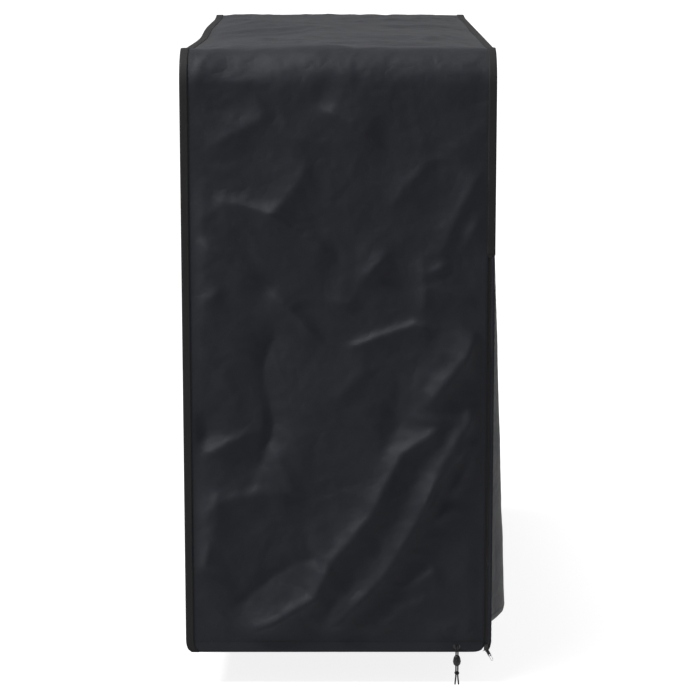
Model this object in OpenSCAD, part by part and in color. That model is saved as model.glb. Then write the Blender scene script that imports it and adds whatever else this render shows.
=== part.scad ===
// Grill cover: a box of black coated cloth for a large barbecue. One long strip makes both ends
// and the top, two side panels close it, a zip opens the front corner of one end, and a cord
// with a lock draws the hem in.
// Frame: +X runs along the length, -Y is the front side with the flare and the zip, +Z is up.
// The origin is the middle of the top panel's underside, where the cover rests on the grill.
// The zip end is at -X.

/* [Cover] */
// Length over both ends
cover_l = 1470; // [1200:10:1800]
// Width over both side panels
cover_w = 610; // [500:10:740]
// Height from the hem to the underside of the top
cover_h = 1200; // [1000:10:1300]
// Thickness of the coated cloth
cloth_t = 1.5; // [1.2:0.1:1.8]
// Radius of the soft folds between the top and the ends
fold_r = 70; // [40:5:100]

/* [Flare] */
// How far the front hem stands out
flare = 46; // [30:2:70]
// Height of the flare and of the zip above the hem
flare_h = 810; // [700:10:880]
// Distance from each end to the foot of the flare's corner crease
flare_in = 300; // [240:10:360]

/* [Seams and hem] */
// Width of each leg of the corner bindings
binding_w = 15; // [12:1:20]
// Thickness of the corner bindings
binding_t = 1.2; // [0.8:0.1:1.6]
// Height of the hem facing
hem_h = 22; // [22:1:28]
// Gap along the crease that the flap turns on
crease_gap = 0.8; // [0.6:0.1:1.2]

/* [Zip] */
// Distance from the corner to the zip's centre line
zip_in = 9; // [9:0.5:11]
// Height of one tooth and the space above it
tooth_pitch = 4; // [3.6:0.1:4.4]
// Length of zip that stays closed at the top
zip_fixed_h = 60; // [60:5:90]

/* [Drawcord] */
// Diameter of the drawcord
cord_d = 3; // [2.6:0.1:3]
// Distance from the corner to the eyelet
eyelet_in = 68; // [60:2:90]
// Inner radius of the eyelet
eyelet_r = 4.4; // [4.4:0.1:4.6]

/* [Hidden] */
$fn = 48;
eps = 0.01;

// Places of the outer faces
end_x = cover_l / 2;
side_y = cover_w / 2;
hem_z = -cover_h;
knee_z = hem_z + flare_h;
fold_z = cloth_t - fold_r;

// The flare: the middle plate leans out, and the corner plates turn about the vertical
lean = atan(flare / flare_h);
lean_len = norm([flare_h, flare]);
turn = atan(flare / flare_in);
corner_len = norm([flare_in, flare]);
foot_w = cover_l - 2 * flare_in;
knee_corner = [-end_x, -side_y, knee_z];
flare_foot = [-end_x + flare_in, -side_y - flare, hem_z];
function other_end(p) = [-p[0], p[1], p[2]];

// Hem: a facing with a tunnel that clears the drawcord and the eyelet
cord_up = 12;
barrel_t = 0.6;
flange_w = 2.6;
washer_t = 0.5;
tunnel_play = 0.2;
tunnel_low = cord_up - eyelet_r - flange_w - tunnel_play;
tunnel_high = cord_up + eyelet_r + flange_w + tunnel_play;
tunnel_d = cord_d + 1;
facing_d = tunnel_d + 1;
cord_in = cloth_t + 0.8 + cord_d / 2;
facing_inset = 13;
crease_clear = 3;
hem_crease_u = corner_len * (1 - hem_h / flare_h);
skirt_clear = (cloth_t + 0.4) * flare_h / flare_in;

// Zip: u is measured from the cover's middle towards the front, v from the hem
zip_u = side_y - zip_in;
cloth_edge_u = zip_u - 3.6;
return_edge_u = zip_u + 3.6;
tooth_outer = 3.2;
tooth_inner = 2.2;
tooth_reach = 1;
tooth_h = 0.4 * tooth_pitch;
chain_n = [-cloth_t - 1.6, -cloth_t + 0.8];
tape_t = 0.6;
row_v = 14.5;
fixed_v = flare_h - zip_fixed_h;
flap_teeth = floor((fixed_v - row_v) / tooth_pitch) - 1;
end_teeth = floor((flare_h - 10 - row_v) / tooth_pitch);

// Slider, pull and ring
slider_v = 9.5;
slider_gap = [chain_n[0] - 1, chain_n[1] + 1.3];
plate_t = 1;
bridge_w = 1.6;
pull_tilt = 28;
pull_v = slider_v - 2.3;
pull_n = slider_gap[1] + plate_t + 0.9;
pull_len = 17;
pull_w = 6.4;
pull_slot = 4.2;
pull_bar_d = 1.3;
ring_wire = 1.2;
ring_turn = 40;

// Drawcord at the eyelet. Points are [out from the end, along the hem, up from the hem].
eyelet_y = -(side_y - eyelet_in);
strand_route = [[-3.8, 10, 12], [-3.8, 6.5, 12], [-3.2, 3.8, 12], [-1.6, 2.1, 12], [1, 1.9, 12],
                [4, 1.9, 11.7], [7, 1.9, 10.4], [9.6, 1.9, 7.6], [10.8, 1.9, 3.6],
                [11, 1.9, -2], [11, 1.9, -10], [11, 1.9, -18], [11, 1.9, -26], [11, 1.9, -34],
                [11, 1.9, -46], [11.3, 2.3, -51], [11.8, 3, -57], [12.2, 3.6, -64]];
strand_out = 11;
strand_y = 1.9;
knot_up = -40;

// Cord lock. Along the button's axis, places are measured from the strands towards the cover.
lock_up = -15;
lock_out = strand_out - 1.6;
button_travel = 3;
button_wall = 1.4;
button_head = 3.9;
slot_half = strand_y + cord_d / 2 + 0.25;
slot_back = cord_d / 2 + 0.1;
slot_front = -cord_d / 2 - button_travel - 0.2;
button_d = 2 * slot_half + 1.4;
bore_d = button_d + 0.3;
spring_solid = 1.4;
bore_floor = slot_back + button_wall + button_travel + spring_solid;

// ---------------------------------------------------------------- helpers

// A plate that spans y0 to y1, from an outline drawn in X and Z
module across(y0, y1) {
    translate([0, y1, 0]) rotate([90, 0, 0]) linear_extrude(y1 - y0) children();
}

// The cover's outline from the side, inset by d, reaching down to the height low
module side_outline(d, low) {
    top = cloth_t - d;
    r = fold_r - d;
    translate([-end_x + d, low]) square([cover_l - 2 * d, fold_z - low]);
    translate([-end_x + fold_r, fold_z - eps]) square([cover_l - 2 * fold_r, top - fold_z + eps]);
    for (s = [-1, 1]) translate([s * (end_x - fold_r), fold_z]) circle(r, $fn = 96);
}

// Local frames with their origin on the hem: X runs along it, Y is up, Z points outwards
module on_zip_end() { translate([-end_x, 0, hem_z]) rotate([90, 0, -90]) children(); }
module on_far_end() { translate([end_x, 0, hem_z]) rotate([90, 0, 90]) children(); }
module on_eyelet() { on_zip_end() translate([-eyelet_y, cord_up, 0]) children(); }
module on_back() { translate([0, side_y, hem_z]) rotate([90, 0, 180]) children(); }
module on_flap() { translate([-end_x, -side_y, hem_z]) rotate([90, 0, -turn]) children(); }
module on_far_flare() {
    translate([end_x - flare_in, -side_y - flare, hem_z]) rotate([90, 0, turn]) children();
}
module on_front() {
    translate([0, -side_y, knee_z]) rotate([90 - lean, 0, 0]) translate([0, -lean_len, 0])
        children();
}

// A block that spans u, v and n in a local frame
module block(u, v, n) {
    translate([u[0], v[0], n[0]]) cube([u[1] - u[0], v[1] - v[0], n[1] - n[0]]);
}

// A sheet between a skin and the same skin moved by t along Y. The skin's points and faces go
// clockwise as seen from the front, and the rim lists its border's points in that order.
module sheet_between(points, faces, rim, t) {
    n = len(points);
    inner = [for (f = faces) [for (i = [len(f) - 1:-1:0]) f[i] + n]];
    edge = [for (i = [0:len(rim) - 1]) let (p = rim[i], q = rim[(i + 1) % len(rim)])
            [p, p + n, q + n, q]];
    polyhedron(concat(points, [for (p = points) p + [0, t, 0]]), concat(faces, inner, edge));
}

// A point on the corner plate of the flare, u from the corner and v up from the hem
function on_corner_plate(u, v) =
    [-end_x + u * cos(turn), -side_y - u * sin(turn), hem_z + v];

// A hem facing from u0 to u1, open towards the cloth where the cord runs
module facing(u0, u1) {
    difference() {
        block([u0, u1], [0, hem_h], [-cloth_t - facing_d, -cloth_t]);
        block([u0 - 1, u1 + 1], [tunnel_low, tunnel_high], [-cloth_t - tunnel_d, 0]);
    }
}

// A round tube along a route, one ring at each point, square to the bisector of its bend
function unit(v) = v / norm(v);
function heading(p, i) =
    unit(i == 0 ? p[1] - p[0]
       : i == len(p) - 1 ? p[i] - p[i - 1]
       : unit(p[i + 1] - p[i]) + unit(p[i] - p[i - 1]));
function carried(side, dir) = unit(side - (side * dir) * dir);
function sides(p, i, side) =
    let (s = carried(side, heading(p, i))) i == len(p) - 1 ? [s] : concat([s], sides(p, i + 1, s));
module tube(p, r, facets, start_side) {
    s = sides(p, 0, start_side);
    rings = [for (i = [0:len(p) - 1]) let (d = heading(p, i), c = cross(d, s[i]))
             for (k = [0:facets - 1]) let (a = 360 * k / facets) p[i] + r * (cos(a) * s[i] + sin(a) * c)];
    last = (len(p) - 1) * facets;
    walls = [for (i = [0:len(p) - 2]) for (k = [0:facets - 1]) let (m = (k + 1) % facets)
             for (t = [[i * facets + k, i * facets + m, (i + 1) * facets + m],
                       [i * facets + k, (i + 1) * facets + m, (i + 1) * facets + k]])
             [t[2], t[1], t[0]]];
    polyhedron(rings, concat(walls, [[for (k = [0:facets - 1]) k]],
                             [[for (k = [facets - 1:-1:0]) last + k]]));
}

// Points that round the corner at b between straight runs from a and to c, starting r from it
function eased(a, b, c, r, steps) =
    let (s = b + r * unit(a - b), e = b + r * unit(c - b))
    [for (i = [0:steps]) let (t = i / steps) (1 - t) * (1 - t) * s + 2 * t * (1 - t) * b + t * t * e];

// ---------------------------------------------------------------- cloth

module saddle_panel() color("#26272b") difference() {
    across(-side_y + cloth_t, side_y - cloth_t) difference() {
        side_outline(0, hem_z);
        side_outline(cloth_t, hem_z - 1);
    }
    on_zip_end() block([cloth_edge_u, side_y], [-1, flare_h], [-cloth_t - 1, 1]);
    on_eyelet() translate([0, 0, -cloth_t - 1]) cylinder(r = eyelet_r + barrel_t, h = cloth_t + 2);
}

module back_panel() color("#242529") across(side_y - cloth_t, side_y) side_outline(0, hem_z);

// The part of the zip corner that goes round onto the end, up to the zip's teeth
module corner_return(v0, v1) {
    on_zip_end() block([return_edge_u, side_y - cloth_t / 4], [v0, v1], [-cloth_t, 0]);
}

module front_panel() color("#242529")
    across(-side_y, -side_y + cloth_t) side_outline(0, knee_z);

module front_skirt() color("#242529")
    sheet_between([knee_corner, other_end(knee_corner), other_end(flare_foot), flare_foot],
                  [[0, 1, 2, 3]], [0, 1, 2, 3], cloth_t);

module front_far_corner() color("#242529")
    sheet_between([other_end(knee_corner), [end_x, -side_y, hem_z], other_end(flare_foot)],
                  [[0, 1, 2]], [0, 1, 2], cloth_t);

module front_zip_corner() color("#242529") {
    sheet_between([knee_corner, knee_corner + (flare_foot - knee_corner) * zip_fixed_h / flare_h,
                   on_corner_plate(0, fixed_v)],
                  [[0, 1, 2]], [0, 1, 2], cloth_t);
    corner_return(fixed_v, flare_h - skirt_clear);
}

module front_flap() color("#242529") {
    top = fixed_v - crease_gap;
    slope = corner_len / flare_h;
    sheet_between([on_corner_plate(0, top),
                   on_corner_plate(slope * (flare_h - top) - crease_gap, top),
                   on_corner_plate(corner_len - crease_gap, 0), on_corner_plate(0, 0)],
                  [[0, 1, 2, 3]], [0, 1, 2, 3], cloth_t);
    corner_return(0, top);
}

// ---------------------------------------------------------------- bindings

// A strip folded over a long seam: one leg on the end strip and one on the side panel
module seam_binding(s) {
    outer = side_y + binding_t;
    mirror([0, s < 0 ? 1 : 0, 0]) {
        across(side_y - binding_w, outer) difference() {
            side_outline(-binding_t, hem_z);
            side_outline(0, hem_z - 1);
        }
        across(side_y, outer) difference() {
            side_outline(0, hem_z);
            side_outline(binding_w, hem_z - 1);
        }
    }
}

module back_binding() color("#28282a") seam_binding(1);

module front_binding() color("#28282a") {
    outer = -side_y - binding_t;
    inner_x = end_x - binding_w;
    inner_y = outer - binding_w * tan(turn);
    difference() {
        seam_binding(-1);
        translate([-cover_l, outer - 1, hem_z - 1]) cube([cover_l, 2 * binding_w, flare_h + 1]);
        translate([0, outer - 1, hem_z - 1]) cube([end_x, binding_t + 1, flare_h + 1]);
    }
    sheet_between([[inner_x, outer, knee_z], [end_x, outer, knee_z], [end_x, outer, hem_z],
                   [inner_x, inner_y, hem_z],
                   [inner_x, inner_y, knee_z - binding_w * flare_h / flare_in]],
                  [[0, 1, 4], [4, 1, 2, 3]], [0, 1, 2, 3, 4], binding_t);
}

module flap_binding() color("#28282a") {
    top = fixed_v - crease_gap - binding_w;
    on_flap() block([0, binding_w], [0, top], [0, binding_t]);
}

// ---------------------------------------------------------------- hem

module facing_zip_end() color("#222327") on_zip_end() facing(-side_y + facing_inset, zip_u - 20);
module facing_far_end() color("#222327")
    on_far_end() facing(-side_y + facing_inset, side_y - facing_inset);
module facing_back() color("#222327")
    on_back() facing(-end_x + facing_inset, end_x - facing_inset);
module facing_front() color("#222327") on_front() facing(-foot_w / 2 + 2, foot_w / 2 - 2);
module facing_far_flare() color("#222327")
    on_far_flare() facing(corner_len - hem_crease_u + crease_clear, corner_len - facing_inset);
module facing_flap() color("#222327") on_flap() facing(16, hem_crease_u - crease_clear);

// The long run goes from the eyelet round the back and the far end to the flap's crease
module drawcord_long() color("#1b1b1d") {
    x = end_x - cord_in;
    y = side_y - cord_in;
    up = hem_z + cord_up;
    bend = 9;
    start = [-x, eyelet_y + strand_route[0][1], up];
    back = [[-x, y, up], [x, y, up]];
    corner_y = -side_y + cord_in / cos(turn);
    front_y = -side_y - flare + cord_up * tan(lean) + cord_in / cos(lean);
    foot_x = end_x - (corner_y - front_y) / tan(turn);
    far_corner = [x, corner_y - cord_in * tan(turn), up];
    foot = [foot_x, front_y, up];
    finish = [-foot_x + crease_clear, front_y, up];
    tube(concat([start], eased(start, back[0], back[1], bend, 5),
                eased(back[0], back[1], far_corner, bend, 5),
                eased(back[1], far_corner, foot, bend, 5),
                eased(far_corner, foot, finish, bend, 2), [finish]),
         cord_d / 2, 8, [0, 0, 1]);
}

module drawcord_short() color("#1b1b1d") {
    start = -eyelet_y + strand_route[0][1];
    on_zip_end() translate([start, cord_up, -cord_in])
        rotate([0, 90, 0]) cylinder(d = cord_d, h = zip_u - 22 - start);
}

module drawcord_flap() color("#1b1b1d")
    on_flap() translate([18, cord_up, -cord_in])
        rotate([0, 90, 0]) cylinder(d = cord_d, h = hem_crease_u - crease_clear - 20);

// ---------------------------------------------------------------- zip

// A row of n teeth from v0 up. The side is -1 for the end panel's row, 1 for the flap's.
module tooth_row(side, v0, n) {
    shift = side < 0 ? 0.05 * tooth_pitch : 0.55 * tooth_pitch;
    outer = zip_u + side * tooth_outer;
    inner = zip_u + side * tooth_inner;
    tip = zip_u - side * tooth_reach;
    teeth = [for (i = [n - 1:-1:0]) let (v = v0 + i * tooth_pitch + shift)
             for (q = [[inner, v + tooth_h], [tip, v + tooth_h], [tip, v], [inner, v]]) q];
    on_zip_end() translate([0, 0, chain_n[0]]) linear_extrude(chain_n[1] - chain_n[0])
        polygon(concat([[inner, v0], [outer, v0], [outer, v0 + n * tooth_pitch],
                        [inner, v0 + n * tooth_pitch]], teeth));
}

module tape_flat(u, v) {
    on_zip_end() block(u, v, [-cloth_t - tape_t, -cloth_t]);
}

// A place in plan on the flap's corner, u from the corner and d behind the cloth's face
function flap_plan(u, d) =
    [-end_x + u * cos(turn) + d * sin(turn), -side_y - u * sin(turn) + d * cos(turn)];

// The flap's tape goes from the teeth round the corner and along the back of the flap
module tape_round_corner(v) {
    inside = cloth_t + tape_t;
    face_x = -end_x + cloth_t;
    edge_y = -zip_u - tooth_outer;
    translate([0, 0, hem_z + v[0]]) linear_extrude(v[1] - v[0])
        polygon([[face_x, edge_y], flap_plan((cloth_t - cloth_t * sin(turn)) / cos(turn), cloth_t),
                 flap_plan(14, cloth_t), flap_plan(14, inside),
                 flap_plan((inside - inside * sin(turn)) / cos(turn), inside),
                 [face_x + tape_t, edge_y]]);
}

module stop_block(side, v) {
    middle = zip_u + side * (tooth_outer - 1.3);
    on_zip_end() block([middle - 1.3, middle + 1.3], v, chain_n);
}

module zip_tape_end() color("#202024")
    tape_flat([zip_u - 18, zip_u - tooth_outer], [11, flare_h - 2]);
module zip_teeth_end() color("#1c1c1f") tooth_row(-1, row_v, end_teeth);
module zip_stop_end() color("#2a2a2d") stop_block(-1, [row_v - 2.4, row_v]);

module zip_tape_top() color("#202024")
    tape_flat([zip_u + tooth_outer, side_y - cloth_t + 0.2], [fixed_v + 0.5, flare_h - 4]);
module zip_teeth_top() color("#1c1c1f") {
    first = flap_teeth + 2;
    tooth_row(1, row_v + first * tooth_pitch, end_teeth - first);
}
module zip_closed_stop() color("#2a2a2d")
    on_zip_end() block([zip_u - tooth_outer, zip_u + tooth_outer],
                       [row_v + end_teeth * tooth_pitch + 0.2, flare_h - 6], chain_n);

module zip_tape_flap() color("#202024") tape_round_corner([11, fixed_v - 3]);
module zip_teeth_flap() color("#1c1c1f") tooth_row(1, row_v, flap_teeth);
module zip_stop_flap() color("#2a2a2d") stop_block(1, [row_v - 2.4, row_v]);

// ---------------------------------------------------------------- slider and pull

// Outline of one slider plate, broad at the foot where the rows part
module slider_outline() polygon([[-3.2, 6.5], [3.2, 6.5], [4.5, -1], [4.5, -6.5], [-4.5, -6.5],
                                 [-4.5, -1]]);

module slider_body() color("#232326") on_zip_end() translate([zip_u, slider_v, 0]) {
    translate([0, 0, slider_gap[1]]) linear_extrude(plate_t) slider_outline();
    translate([0, 0, slider_gap[0] - plate_t]) linear_extrude(plate_t) slider_outline();
    block([1.4, 3.2], [-6.5, -3], [slider_gap[0] - eps, slider_gap[1] + eps]);
}

// The arch on the slider's face that traps the pull
module slider_bridge() color("#232326") on_zip_end() translate([zip_u, slider_v, slider_gap[1] + plate_t])
    difference() {
        block([-bridge_w / 2, bridge_w / 2], [-4.5, 4.5], [0, 2.7]);
        block([-2, 2], [-3.6, 3.6], [-1, 1.8]);
    }

// Local frame on the pull's hinge: Y points up the pull, which hangs tilted towards the corner
module on_pull() {
    on_zip_end() translate([zip_u, pull_v, pull_n]) rotate([0, 0, pull_tilt]) children();
}

module pull_tab() color("#1f1f21") on_pull() {
    difference() {
        hull() {
            block([-pull_w / 2 + 0.8, pull_w / 2 - 0.8], [-pull_len, 0], [-0.5, 0.5]);
            block([-pull_w / 2, pull_w / 2], [-pull_len + 0.8, 0], [-0.5, 0.5]);
        }
        block([-pull_slot / 2, pull_slot / 2], [-4.4, 1], [-1, 1]);
        block([-1.9, 1.9], [1 - pull_len, 3.6 - pull_len], [-1, 1]);
    }
    translate([-pull_w / 2, 0, 0]) rotate([0, 90, 0]) cylinder(d = pull_bar_d, h = pull_w);
}

// Long wire ring, turned so that it passes through the pull's lower slot
module pull_ring() color("#a9a9aa") on_pull()
    translate([0, 1.9 - pull_len, 0]) rotate([0, 90 - ring_turn, 0]) {
        r = 2.9;
        run = 6;
        for (s = [-1, 1]) {
            translate([s * r, -r - run, 0]) rotate([-90, 0, 0]) cylinder(d = ring_wire, h = run);
            translate([0, -r - (s < 0 ? run : 0), 0]) rotate([0, 0, s < 0 ? 180 : 0])
                rotate_extrude(angle = 180) translate([r, 0]) circle(d = ring_wire, $fn = 24);
        }
    }

// ---------------------------------------------------------------- drawcord end

module eyelet() color("#2d2d30") on_eyelet() difference() {
    union() {
        cylinder(r = eyelet_r + flange_w, h = 0.8);
        translate([0, 0, -cloth_t - washer_t]) cylinder(r = eyelet_r + barrel_t, h = cloth_t + 1);
    }
    translate([0, 0, -5]) cylinder(r = eyelet_r, h = 10);
}

module eyelet_washer() color("#2d2d30") on_eyelet() translate([0, 0, -cloth_t - washer_t])
    difference() {
        cylinder(r = eyelet_r + flange_w - 0.2, h = washer_t);
        translate([0, 0, -1]) cylinder(r = eyelet_r + barrel_t, h = 3);
    }

function strand_points(side) =
    [for (p = strand_route) [-end_x - p[0], eyelet_y + side * p[1], hem_z + p[2]]];

module cord_strand_a() color("#1b1b1d") tube(strand_points(1), cord_d / 2, 8, [0, 0, 1]);
module cord_strand_b() color("#1b1b1d") tube(strand_points(-1), cord_d / 2, 8, [0, 0, 1]);

// A place on the hanging cord: X points at the cover, Z up
module on_hanging(out, up) { translate([-end_x - out, eyelet_y, hem_z + up]) children(); }

// Two bores down through something that the cord passes through
module strand_bores(d, low, high) {
    for (s = [-1, 1]) translate([0, s * strand_y, low]) cylinder(d = d, h = high - low, $fn = 32);
}

module drawcord_knot() color("#1b1b1d") on_hanging(strand_out, knot_up) difference() {
    hull() {
        translate([0, 0.4, 2.2]) scale([0.8, 1.1, 0.8]) sphere(4.4, $fn = 24);
        translate([0, -0.4, -2.2]) scale([0.8, 1.05, 0.8]) sphere(4.4, $fn = 24);
    }
    strand_bores(cord_d, -10, 10);
}

module cord_lock_body() color("#1d1d1f") difference() {
    bore = cord_d + 0.5;
    on_hanging(lock_out, lock_up) hull() {
        translate([0, 0, 4]) scale([0.82, 1, 1]) sphere(7, $fn = 32);
        translate([0, 0, -3]) scale([0.88, 1, 1]) sphere(8, $fn = 32);
    }
    on_hanging(strand_out, lock_up) {
        translate([-10, 0, 0]) rotate([0, 90, 0]) cylinder(d = bore_d, h = 10 + bore_floor);
        strand_bores(bore, -12, 12);
        translate([-bore / 2, -strand_y, -12]) cube([bore, 2 * strand_y, 24]);
    }
}

module cord_lock_button() color("#222224") on_hanging(strand_out, lock_up) difference() {
    front = slot_front - button_head;
    translate([front, 0, 0]) rotate([0, 90, 0])
        cylinder(d = button_d, h = slot_back + button_wall - front);
    translate([slot_front, -slot_half, -button_d])
        cube([slot_back - slot_front, 2 * slot_half, 2 * button_d]);
}

module cord_lock_spring() color("#8d8d8f") {
    turns = 3;
    steps = 12;
    wire_r = 0.35;
    coil_r = 2.8;
    start = slot_back + button_wall + wire_r + 0.1;
    run = bore_floor - start - wire_r - 0.1;
    tube([for (i = [0:turns * steps]) let (a = 360 * i / steps)
          [-end_x - strand_out + start + run * i / (turns * steps), eyelet_y + coil_r * cos(a),
           hem_z + lock_up + coil_r * sin(a)]], wire_r, 8, [0, 1, 0]);
}

saddle_panel();
back_panel();
front_panel();
front_skirt();
front_far_corner();
front_zip_corner();
front_flap();
front_binding();
back_binding();
flap_binding();
facing_zip_end();
facing_far_end();
facing_back();
facing_front();
facing_far_flare();
facing_flap();
drawcord_long();
drawcord_short();
drawcord_flap();
zip_tape_end();
zip_teeth_end();
zip_stop_end();
zip_tape_top();
zip_teeth_top();
zip_closed_stop();
zip_tape_flap();
zip_teeth_flap();
zip_stop_flap();
slider_body();
slider_bridge();
pull_tab();
pull_ring();
eyelet();
eyelet_washer();
cord_strand_a();
cord_strand_b();
drawcord_knot();
cord_lock_body();
cord_lock_button();
cord_lock_spring();
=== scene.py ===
# %% [markdown]
# # A cover for a barbecue
#
# The real thing is a bag of black coated cloth. One long strip goes up one end, over the top and
# down the other end. Two side panels close it, folded tape binds the seams, a zip opens one
# corner, and a cord with a lock draws the hem in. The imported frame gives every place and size.
# The cells below dress it: camera and finishes first, then cords, cloth, seams, zip, stitching,
# lock and light.

# %% Load the frame and keep its box
import math
import random

import bmesh
import bpy
import numpy as np
from mathutils import Matrix, Vector


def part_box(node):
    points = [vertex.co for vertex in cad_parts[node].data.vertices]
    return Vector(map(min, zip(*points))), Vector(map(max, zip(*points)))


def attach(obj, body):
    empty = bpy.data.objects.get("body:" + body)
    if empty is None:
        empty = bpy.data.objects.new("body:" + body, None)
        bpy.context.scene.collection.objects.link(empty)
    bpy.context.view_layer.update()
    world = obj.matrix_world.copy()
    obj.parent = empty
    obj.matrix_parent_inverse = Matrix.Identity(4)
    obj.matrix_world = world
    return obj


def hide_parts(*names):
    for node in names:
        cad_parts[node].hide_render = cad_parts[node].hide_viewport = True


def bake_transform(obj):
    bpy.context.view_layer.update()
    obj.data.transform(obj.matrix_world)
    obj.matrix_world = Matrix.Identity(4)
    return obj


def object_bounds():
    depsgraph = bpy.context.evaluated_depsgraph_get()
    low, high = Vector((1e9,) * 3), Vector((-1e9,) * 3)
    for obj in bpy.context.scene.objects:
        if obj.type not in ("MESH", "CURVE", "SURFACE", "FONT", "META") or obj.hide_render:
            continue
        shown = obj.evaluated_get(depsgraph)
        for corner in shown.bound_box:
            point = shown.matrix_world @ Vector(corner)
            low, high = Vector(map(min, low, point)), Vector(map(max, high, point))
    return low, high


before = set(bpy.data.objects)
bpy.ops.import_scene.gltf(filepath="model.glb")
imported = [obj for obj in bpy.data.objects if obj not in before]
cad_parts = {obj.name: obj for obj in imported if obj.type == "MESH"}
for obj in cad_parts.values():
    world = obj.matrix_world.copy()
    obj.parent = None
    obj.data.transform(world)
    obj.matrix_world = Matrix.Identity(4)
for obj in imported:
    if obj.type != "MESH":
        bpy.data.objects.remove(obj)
cad_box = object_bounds()

# %% [markdown]
# ## Sizes that the pieces share
#
# The solids' boxes give the big sizes. The small ones, such as a fold's radius, are facts of
# how the cover is sewn, so they are written once here, in metres.

# %% Sizes


def ends_of(node):
    """The lower and the upper corner of a solid's box."""
    return [Vector(p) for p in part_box(node)]


strip_low, strip_high = ends_of("saddle_panel")
END_X = strip_high.x
HEM_Z = strip_low.z
TOP_Z = strip_high.z
SIDE_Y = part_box("back_panel")[1][1]
CLOTH, LINING = 0.0015, 0.0008
FOLD = 0.070  # radius of the soft folds between ends and top
KNEE = 0.810  # height of the zip's top, where the front starts to swing out
FLARE, FLARE_IN = 0.046, 0.300  # how far out at the hem, and how far in from each corner
BINDING_W, BINDING_T = 0.015, 0.0012
HEM_H = 0.022
ZIP_Y = SIDE_Y - 0.009
ZIP_GAP = 0.0036
FIXED_ZIP = 0.750  # height up to which the flap opens
EYELET = Vector((-END_X, -0.237, HEM_Z + 0.012))

STRAIGHT = TOP_Z - FOLD - HEM_Z
ARC = FOLD * math.pi / 2
FLAT = 2 * (END_X - FOLD)
STRIP = 2 * (STRAIGHT + ARC) + FLAT
print("the strip is cut", round(2 * SIDE_Y, 3), "by", round(STRIP, 3), "m")

# %% [markdown]
# ## The camera
#
# A long lens from straight in front of the zip end, a little above the top, looking slightly
# down. It keeps the far end almost as wide as the near one. There is no lens shift, so the same
# camera also works when it is carried round the object.

# %% Camera


def placed(name, data):
    """A new object with that data, linked into the scene."""
    made = bpy.data.objects.new(name, data)
    bpy.context.scene.collection.objects.link(made)
    return made


camera_data = bpy.data.cameras.new("camera")
camera_data.lens = 126.8
camera_data.sensor_width = 36
camera = placed("camera", camera_data)
camera.location = (-END_X - 4.755, -0.017, 0.294)
camera.rotation_euler = (math.radians(90 - 10.46), 0, math.radians(-90.07))
bpy.context.scene.camera = camera
print("camera", tuple(round(v, 3) for v in camera.location))

# %% [markdown]
# ## Shader maths in plain Python
#
# Node trees are easier to read as sums. The class wraps one output socket, each operator adds a
# Math node, and every other node comes from one method.

# %% A socket that can be added and multiplied


class Value:
    """One output socket of a material's tree."""

    def __init__(self, tree, socket=None):
        self.tree, self.socket = tree, socket

    def node(self, kind, settings=None, inputs=None, out=0):
        """A node of that kind: its options, then values or links for its sockets."""
        made = self.tree.nodes.new(kind)
        for name, setting in (settings or {}).items():
            setattr(made, name, setting)
        for name, value in (inputs or {}).items():
            if isinstance(value, Value):
                self.tree.links.new(value.socket, made.inputs[name])
            else:
                made.inputs[name].default_value = value
        return Value(self.tree, made.outputs[out])

    def math(self, operation, *others):
        """A Math node on this value and any others."""
        inputs = dict(enumerate((self, *others)))
        return self.node("ShaderNodeMath", {"operation": operation}, inputs)

    def __add__(self, other):
        return self.math("ADD", other)

    def __sub__(self, other):
        return self.math("SUBTRACT", other)

    def __rsub__(self, other):
        return self.node("ShaderNodeMath", {"operation": "SUBTRACT"}, {0: other, 1: self})

    def __mul__(self, other):
        return self.math("MULTIPLY", other)

    def __mod__(self, other):
        return self.math("FLOORED_MODULO", other)

    __radd__, __rmul__ = __add__, __mul__

    def wave(self):
        """The sine, brought into 0 to 1."""
        return self.math("SINE") * 0.5 + 0.5


def coords(at, kind):
    """The piece's own place ("Object") or its UV map ("UV")."""
    return at.node("ShaderNodeTexCoord", out=kind)


def part(at, vector, i):
    """One number out of a vector."""
    return at.node("ShaderNodeSeparateXYZ", None, {0: vector}, i)


def noise(at, where, scale, detail, rough=0.55):
    """Noise from 0 to 1 at a number of features per metre."""
    inputs = {"Vector": where, "Scale": scale, "Detail": detail, "Roughness": rough}
    return at.node("ShaderNodeTexNoise", None, inputs, "Fac")


def blend_colours(at, share, first, second):
    """A mix of two colours, by share from 0 to 1."""
    inputs = {0: share, 6: (*first, 1), 7: (*second, 1)}
    return at.node("ShaderNodeMix", {"data_type": "RGBA"}, inputs, 2)


def new_material(name, constants):
    """A material with its shader's fixed sockets set, and a Value to start sums from."""
    made = bpy.data.materials.new(name)
    made.use_nodes = True
    shader = made.node_tree.nodes["Principled BSDF"]
    for socket, value in constants.items():
        shader.inputs[socket].default_value = value
    return made, shader, Value(made.node_tree)


def drive(shader, at, **links):
    """Links values into the shader's varying sockets."""
    names = {"colour": "Base Color", "roughness": "Roughness", "normal": "Normal"}
    for name, value in links.items():
        at.tree.links.new(value.socket, shader.inputs[names[name]])


def bump(at, height, distance, strength):
    """Fine relief for a material's normal."""
    inputs = {"Height": height, "Distance": distance, "Strength": strength}
    return at.node("ShaderNodeBump", None, inputs)


# %% [markdown]
# ## Finishes
#
# The cloth is a plain weave with a thin coat: nearly black with a little blue, and paler at a low
# angle. Weave and hem line read the piece's own UV map, which is in metres, so they follow the
# cut. The hem line is painted shade, with painted light on the band below it. A net of slow
# creases lies over them. The bindings are a softer, more neutral tape. Cord, thread, tape and
# moulded parts each have their own small pattern.

# %% Woven finishes


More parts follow.
